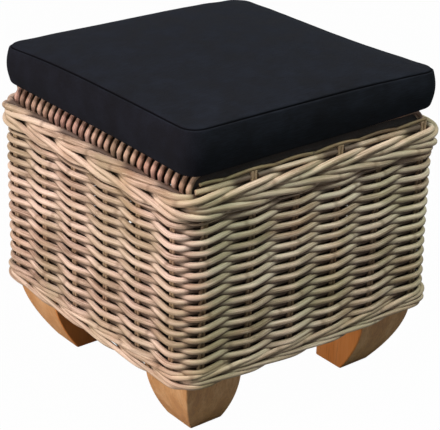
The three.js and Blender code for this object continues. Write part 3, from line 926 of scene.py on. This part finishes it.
def topFrame():
    # Lower than in the frame, with the deck's shoulder on its outer edges.
    low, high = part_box("top_frame")
    node = frame["nodes"]["top_frame"]
    places = [node.matrix_world @ vertex.co for vertex in node.data.vertices]
    inner = min(max(abs(place.x), abs(place.y)) for place in places)
    outline = [(inner, low.z), (high.x, low.z)]
    outline += [(high.x - inward, rodsUnderside - down) for inward, down in topFrameSizes["shoulder"]]
    outline.append((inner, rodsUnderside))
    mesh = bmesh.new()
    rings = [[mesh.verts.new((x * reach, y * reach, height)) for x, y in ((-1, -1), (1, -1), (1, 1), (-1, 1))]
             for reach, height in outline]
    bridge(mesh, rings + rings[:1])
    bmesh.ops.recalc_face_normals(mesh, faces=mesh.faces)
    return pieceFrom(mesh, "shaped_top_frame", darkFrameTimber)


pieces.append((topFrame(), ["top_frame"], "basket"))
print("deck made")


# Feet: outer faces curve in to the floor, inner faces are plumb

footSizes = {
    "inset": 0.0015,          # behind the frame's own foot
    "undercut": 0.0405,       # how far the outer faces come in at the floor
    "curve": 1.8,             # 1 is a straight batter, 2 is close to an arc
    "steps": 20,
    "edge": 0.0022,
    "edgeSegments": 3,
    "edgeAngle": 40,          # in degrees: flatter edges stay sharp
}


def foot(corner, signX, signY):
    low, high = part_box(f"foot_{corner}")
    outer = max(abs(low.x), abs(high.x)) - footSizes["inset"]
    inner = min(abs(low.x), abs(high.x))
    mesh = bmesh.new()
    rings = []
    for step in range(footSizes["steps"] + 1):
        share = step / footSizes["steps"]
        reach = outer - footSizes["undercut"] * share ** footSizes["curve"]
        corners = [(inner, inner), (reach, inner), (reach, reach), (inner, reach)]
        rings.append([mesh.verts.new((x, y, high.z * (1 - share))) for x, y in corners])
    bridge(mesh, rings)
    mesh.faces.new(rings[0])
    mesh.faces.new(list(reversed(rings[-1])))
    bmesh.ops.scale(mesh, vec=(signX, signY, 1), verts=mesh.verts)
    bmesh.ops.recalc_face_normals(mesh, faces=mesh.faces)
    piece = pieceFrom(mesh, f"shaped_foot_{corner}", footTimber)
    bevel = piece.modifiers.new("edge", "BEVEL")
    bevel.width = footSizes["edge"]
    bevel.segments = footSizes["edgeSegments"]
    bevel.limit_method = "ANGLE"
    bevel.angle_limit = math.radians(footSizes["edgeAngle"])
    bevel.harden_normals = True
    for face in piece.data.polygons:
        face.use_smooth = True
    return piece


for corner, signX, signY in (("back_right", 1, 1), ("back_left", -1, 1),
                             ("front_left", -1, -1), ("front_right", 1, -1)):
    pieces.append((foot(corner, signX, signY), [f"foot_{corner}"], "basket"))
print("feet made")


# Cushion: two panels and a side strip between two seams, filled by a cloth simulation

cushionLow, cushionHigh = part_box("cushion")
cushionSizes = {
    "half": 0.2090,           # at the seams' corners
    "corner": 0.022,
    "cornerLeast": 0.0001,    # the same in the middle of a panel
    "draw": [0.0035, 0.008, 0.006, 0.0035],      # how far a seam is drawn in at mid length, front first
    "dip": [0.0, 0.006, 0.004, 0.0],             # how far the top seam dips there
    "settled": 0.006,         # lower than in the frame, as the deck
    "side": 0.056,            # height of the side strip
    "bulge": 0.0045,          # of the side strip
    "crown": 0.008,           # of the cut top, before it is filled
    "droop": {"near": -0.002, "back": 0.011, "left": 0.006, "right": 0.003},    # of the top seam's corners
    "lift": {"near": 0.0, "back": 0.004, "left": 0.003, "right": 0.006},        # of the lower seam's corners
    "cornerShape": 2.2,       # the larger, the closer to its corner a droop or lift stays
    "hang": 0.004,            # how far the lower seam hangs over the edge of the deck
    "hangFrom": 0.002,        # where that starts, past the deck
    "panelSteps": 56,
    "sideSteps": 9,
    "nearSeam": [0.0, 0.0016, 0.0036, 0.007],    # rows of points beside a seam, in metres
    "seamDepth": [0.003, 0.001],                 # upper and lower seam
    "frames": 20,             # of the cloth simulation, whose settings follow
    "quality": 6,
    "pressure": 4.0,
    "mass": 0.35,
    "tension": 18,
    "compression": 14,
    "bending": 2.5,
    "slack": 0.008,           # how much larger than its panels the cloth is cut
    "topCap": 0.0035,         # how far the filling may move a point of the top
    "sideCap": 0.003,         # and one of the side
    "topFrom": 0.013,         # below the top seam, where the top's cap starts
    "evening": 8,             # how often the moves are evened out with their neighbours
}
cushionBottom = cushionLow.z - cushionSizes["settled"]
topSeam = cushionBottom + cushionSizes["side"]
cornerNames = {(False, False): "near", (True, False): "right", (True, True): "back", (False, True): "left"}


def seamSteps(length, count):
    # Shares of a length from -1 to 1, close together beside its two ends.
    near = [-1 + 2 * step / length for step in cushionSizes["nearSeam"]]
    middle = [near[-1] * (1 - 2 * step / count) for step in range(1, count)]
    return near + middle + [-share for share in reversed(near)]


def ringPoint(u, v, reach, radius):
    # The point of a rounded square in the direction that a plain square's outline has there.
    if v == -1:
        share, side = (u + 1) / 2, 0
    elif u == 1:
        share, side = (v + 1) / 2, 1
    elif v == 1:
        share, side = (1 - u) / 2, 2
    else:
        share, side = (1 - v) / 2, 3
    straight = reach - radius
    along = (share * 2 - 1) * (straight + radius * math.pi / 4)
    draw = cushionSizes["draw"][side] * reach / cushionSizes["half"]
    x, y = along, -reach + draw * max(0, 1 - (along / straight) ** 2)
    if abs(along) > straight:
        angle = (abs(along) - straight) / radius
        x = math.copysign(straight + radius * math.sin(angle), along)
        y = -straight - radius * math.cos(angle)
    for _ in range(side):
        x, y = -y, x
    return x, y


def topRise(u, v):
    front, right, back, left = cushionSizes["dip"]
    dip = ((front if v < 0 else back) * v ** 4 * (1 - u ** 2)
           + (left if u < 0 else right) * u ** 4 * (1 - v ** 2))
    return cushionSizes["crown"] * (1 - u ** 2) * (1 - v ** 2) - dip


def baseRise(u, v):
    deckShare = (deckHigh.x + cushionSizes["hangFrom"]) / cushionSizes["half"]
    return -cushionSizes["hang"] * max(0, (max(abs(u), abs(v)) - deckShare) / (1 - deckShare))


def panel(mesh, level, riseAt, droops):
    # Rows of points from front to back: u is the share to the right and v to the back, from -1 to 1.
    sizes = cushionSizes
    shares = seamSteps(2 * sizes["half"], sizes["panelSteps"])
    rows = []
    for v in shares:
        row = []
        for u in shares:
            ring = max(abs(u), abs(v))
            x, y = 0.0, 0.0
            if ring > 0:
                bend = max(sizes["corner"] * ring, sizes["cornerLeast"])
                x, y = ringPoint(u / ring, v / ring, sizes["half"] * ring, bend)
            droop = droops[cornerNames[(u > 0, v > 0)]] * abs(u * v) ** sizes["cornerShape"]
            row.append(mesh.verts.new((x, y, level + riseAt(u, v) - droop)))
        rows.append(row)
    for row, after in zip(rows, rows[1:]):
        for step in range(len(shares) - 1):
            mesh.faces.new((row[step], row[step + 1], after[step + 1], after[step]))
    return rows


def outline(rows):
    front = rows[0][:-1]
    right = [row[-1] for row in rows[:-1]]
    back = rows[-1][:0:-1]
    left = [row[0] for row in rows[:0:-1]]
    return front + right + back + left


def outward(place):
    # Square to the nearer side, turning through the corner.
    straight = cushionSizes["half"] - cushionSizes["corner"]
    return Vector((place.x - max(-straight, min(straight, place.x)),
                   place.y - max(-straight, min(straight, place.y)), 0)).normalized()


def cushionMesh():
    sizes = cushionSizes
    mesh = bmesh.new()
    top = panel(mesh, topSeam, topRise, sizes["droop"])
    base = panel(mesh, cushionBottom, baseRise, {corner: -lift for corner, lift in sizes["lift"].items()})
    upper, lower = outline(top), outline(base)
    levels = [lower]
    for place in seamSteps(sizes["side"], sizes["sideSteps"])[1:-1]:
        share = (place + 1) / 2
        bulge = sizes["bulge"] * math.sin(math.pi * share)
        levels.append([mesh.verts.new(low.co.lerp(high.co, share) + outward(low.co) * bulge)
                       for low, high in zip(lower, upper)])
    bridge(mesh, levels + [upper])
    bmesh.ops.recalc_face_normals(mesh, faces=mesh.faces)
    mesh.verts.index_update()
    seams = [{vertex.index for vertex in ring} for ring in (upper, lower)]
    underside = {vertex.index for row in base for vertex in row}
    return mesh, seams, underside


def inflate(piece, held):
    # Cloth under pressure: the held points stay, the panels fill between them.
    sizes = cushionSizes
    group = piece.vertex_groups.new(name="held")
    group.add(list(held), 1.0, "REPLACE")
    before = [vertex.co.copy() for vertex in piece.data.vertices]
    modifier = piece.modifiers.new("filling", "CLOTH")
    settings = modifier.settings
    settings.quality = sizes["quality"]
    settings.mass = sizes["mass"]
    settings.tension_stiffness = sizes["tension"]
    settings.compression_stiffness = sizes["compression"]
    settings.bending_stiffness = sizes["bending"]
    settings.use_pressure = True
    settings.uniform_pressure_force = sizes["pressure"]
    settings.vertex_group_mass = "held"
    settings.shrink_min = -sizes["slack"]
    settings.effector_weights.gravity = 0
    modifier.point_cache.frame_start = 1
    modifier.point_cache.frame_end = sizes["frames"]
    scene = bpy.context.scene
    for frameNumber in range(1, sizes["frames"] + 1):
        scene.frame_set(frameNumber)
    evaluated = piece.evaluated_get(bpy.context.evaluated_depsgraph_get())
    filled = [vertex.co.copy() for vertex in evaluated.data.vertices]
    piece.modifiers.remove(modifier)
    piece.vertex_groups.clear()
    moves = []
    for start, end in zip(before, filled):
        move = end - start
        cap = sizes["topCap"] if start.z > topSeam - sizes["topFrom"] else sizes["sideCap"]
        if move.length > cap:
            move *= cap / move.length
        moves.append(move)
    for _ in range(sizes["evening"]):
        moves = evened(moves, piece.data.edges, held)
    for vertex, start, move in zip(piece.data.vertices, before, moves):
        vertex.co = start + move
    scene.frame_set(1)


def evened(moves, edges, held):
    # Each move goes half way to the mean of its neighbours. The held points keep theirs.
    sums = [Vector() for _ in moves]
    counts = [0] * len(moves)
    for edge in edges:
        first, second = edge.vertices
        sums[first] += moves[second]
        sums[second] += moves[first]
        counts[first] += 1
        counts[second] += 1
    return [move if index in held else move.lerp(sums[index] / counts[index], 0.5)
            for index, move in enumerate(moves)]


def sinkSeam(data, ring, depth):
    # A sewn seam sits in a crease between the two panels.
    for index in ring:
        vertex = data.vertices[index]
        inward = Vector((-vertex.co.x, -vertex.co.y, 0)).normalized()
        drop = -1 if vertex.co.z > (cushionLow.z + cushionHigh.z) / 2 else 0
        vertex.co += (inward + Vector((0, 0, drop))) * depth


def makeCushion():
    mesh, seams, underside = cushionMesh()
    piece = pieceFrom(mesh, "box_cushion", cloth)
    data = piece.data
    inflate(piece, seams[0] | underside)
    # The seam mark also places the painted crease shadow on the cloth.
    seamMark = data.attributes.new("seam", "FLOAT", "POINT")
    for ring, depth in zip(seams, cushionSizes["seamDepth"]):
        sinkSeam(data, ring, depth)
        for index in ring:
            seamMark.data[index].value = 1
    for face in data.polygons:
        face.use_smooth = True
    subdivide = piece.modifiers.new("fine", "SUBSURF")
    subdivide.levels = 1
    subdivide.render_levels = 1
    return piece


cushion = makeCushion()
pieces.append((cushion, ["cushion"], "cushion"))
print("cushion made")


# The frame's own nodes that show get their finish

def finishNode(name, material):
    node = frame["nodes"][name]
    node.data.materials.clear()
    node.data.materials.append(material)


for name in frame["nodes"]:
    if name.startswith("foot_bolt"):
        finishNode(name, steel)
    # The base and posts get the near black timber, painted shade for the inside of the body.
    elif name.startswith(("base_", "corner_post")):
        finishNode(name, darkFrameTimber)

for piece, nodes, body in pieces:
    if nodes:
        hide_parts(*nodes)
    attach(piece, body)
print("pieces on their bodies")


# Floor, light and camera

studio = {
    "floorHalf": 6,
    "floorGrey": 0.16,        # what the stool sees of the floor
    "floorGlow": 0.985,       # how much of the white the camera sees, the rest is the shadow
    "ambient": 0.07,          # the world's light on the stool
    "aim": (0, 0, 0.25),      # where the lamps point
    "lamps": [
        {"name": "key", "place": (-1.35, -0.3, 2.4), "size": 0.5, "power": 58, "colour": (1.0, 0.86, 0.85)},
        {"name": "left", "place": (-2.2, -0.1, 0.9), "size": 0.8, "power": 16, "colour": (1.0, 0.86, 0.83)},
        {"name": "low", "place": (-2.0, 0.85, 0.12), "size": 0.3, "power": 23, "colour": (1.0, 0.82, 0.68)},
        {"name": "front", "place": (0.5, -1.3, 2.7), "size": 0.6, "power": 57, "colour": (0.87, 1.0, 0.84)},
    ],
}


def plainFloor(graph, surface):
    # White to the camera, grey to everything else, so that the stool keeps its shadow.
    grey = studio["floorGrey"]
    surface.inputs["Base Color"].default_value = (grey, grey, grey, 1)
    surface.inputs["Roughness"].default_value = 0.9
    output = graph.tree.nodes["Material Output"]
    glow = graph.node("ShaderNodeEmission", None, {"Color": (1, 1, 1, 1), "Strength": 1.0})
    seen = graph.node("ShaderNodeLightPath")
    lit = Wire(graph, surface.outputs[0])
    mixed = graph.node("ShaderNodeMixShader", None, {0: seen * studio["floorGlow"], 1: lit, 2: glow})
    graph.feed(output.inputs["Surface"], mixed)


def floor():
    mesh = bmesh.new()
    bmesh.ops.create_grid(mesh, x_segments=1, y_segments=1, size=studio["floorHalf"])
    pieceFrom(mesh, "floor", paint("floor_paint", plainFloor))


def world():
    # White to the camera and in reflections, faint light on the stool.
    made = bpy.data.worlds.new("studio")
    made.use_nodes = True
    bpy.context.scene.world = made
    graph = Graph(made.node_tree)
    backdrop = made.node_tree.nodes["Background"]
    seen = graph.node("ShaderNodeLightPath")
    through = graph.maths("MAXIMUM", seen, seen.other("Is Glossy Ray"))
    graph.feed(backdrop.inputs["Color"], (1, 1, 1, 1))
    graph.feed(backdrop.inputs["Strength"], through * (1 - studio["ambient"]) + studio["ambient"])


def lamp(name, place, size, power, colour):
    data = bpy.data.lights.new(name, "AREA")
    data.shape = "DISK"
    data.size = size
    data.energy = power
    data.color = colour
    light = bpy.data.objects.new(name, data)
    light.location = place
    light.rotation_euler = (Vector(studio["aim"]) - light.location).to_track_quat("-Z", "Y").to_euler()
    bpy.context.scene.collection.objects.link(light)


floor()
world()
for values in studio["lamps"]:
    lamp(**values)
print("studio made")

photograph = {
    "place": (-1.2520, -1.5395, 1.1242),
    "azimuth": -39.344,       # degrees from the front, to the left
    "elevation": 24.706,
    "roll": 1.734,
    "focalPixels": 1551.6,
    "widthPixels": 440,
}


def camera():
    azimuth = math.radians(photograph["azimuth"])
    elevation = math.radians(photograph["elevation"])
    roll = math.radians(photograph["roll"])
    back = Vector((math.sin(azimuth) * math.cos(elevation), -math.cos(azimuth) * math.cos(elevation),
                   math.sin(elevation)))
    right = Vector((0, 0, 1)).cross(back).normalized()
    up = back.cross(right)
    turnedRight = math.cos(roll) * right + math.sin(roll) * up
    turnedUp = math.cos(roll) * up - math.sin(roll) * right
    data = bpy.data.cameras.new("camera")
    data.sensor_fit = "HORIZONTAL"
    data.sensor_width = 36
    data.lens = photograph["focalPixels"] * data.sensor_width / photograph["widthPixels"]
    made = bpy.data.objects.new("camera", data)
    axes = Matrix((turnedRight, turnedUp, back)).transposed()
    made.matrix_world = Matrix.Translation(photograph["place"]) @ axes.to_4x4()
    bpy.context.scene.collection.objects.link(made)
    bpy.context.scene.camera = made


camera()
bpy.context.scene.view_settings.view_transform = "Standard"
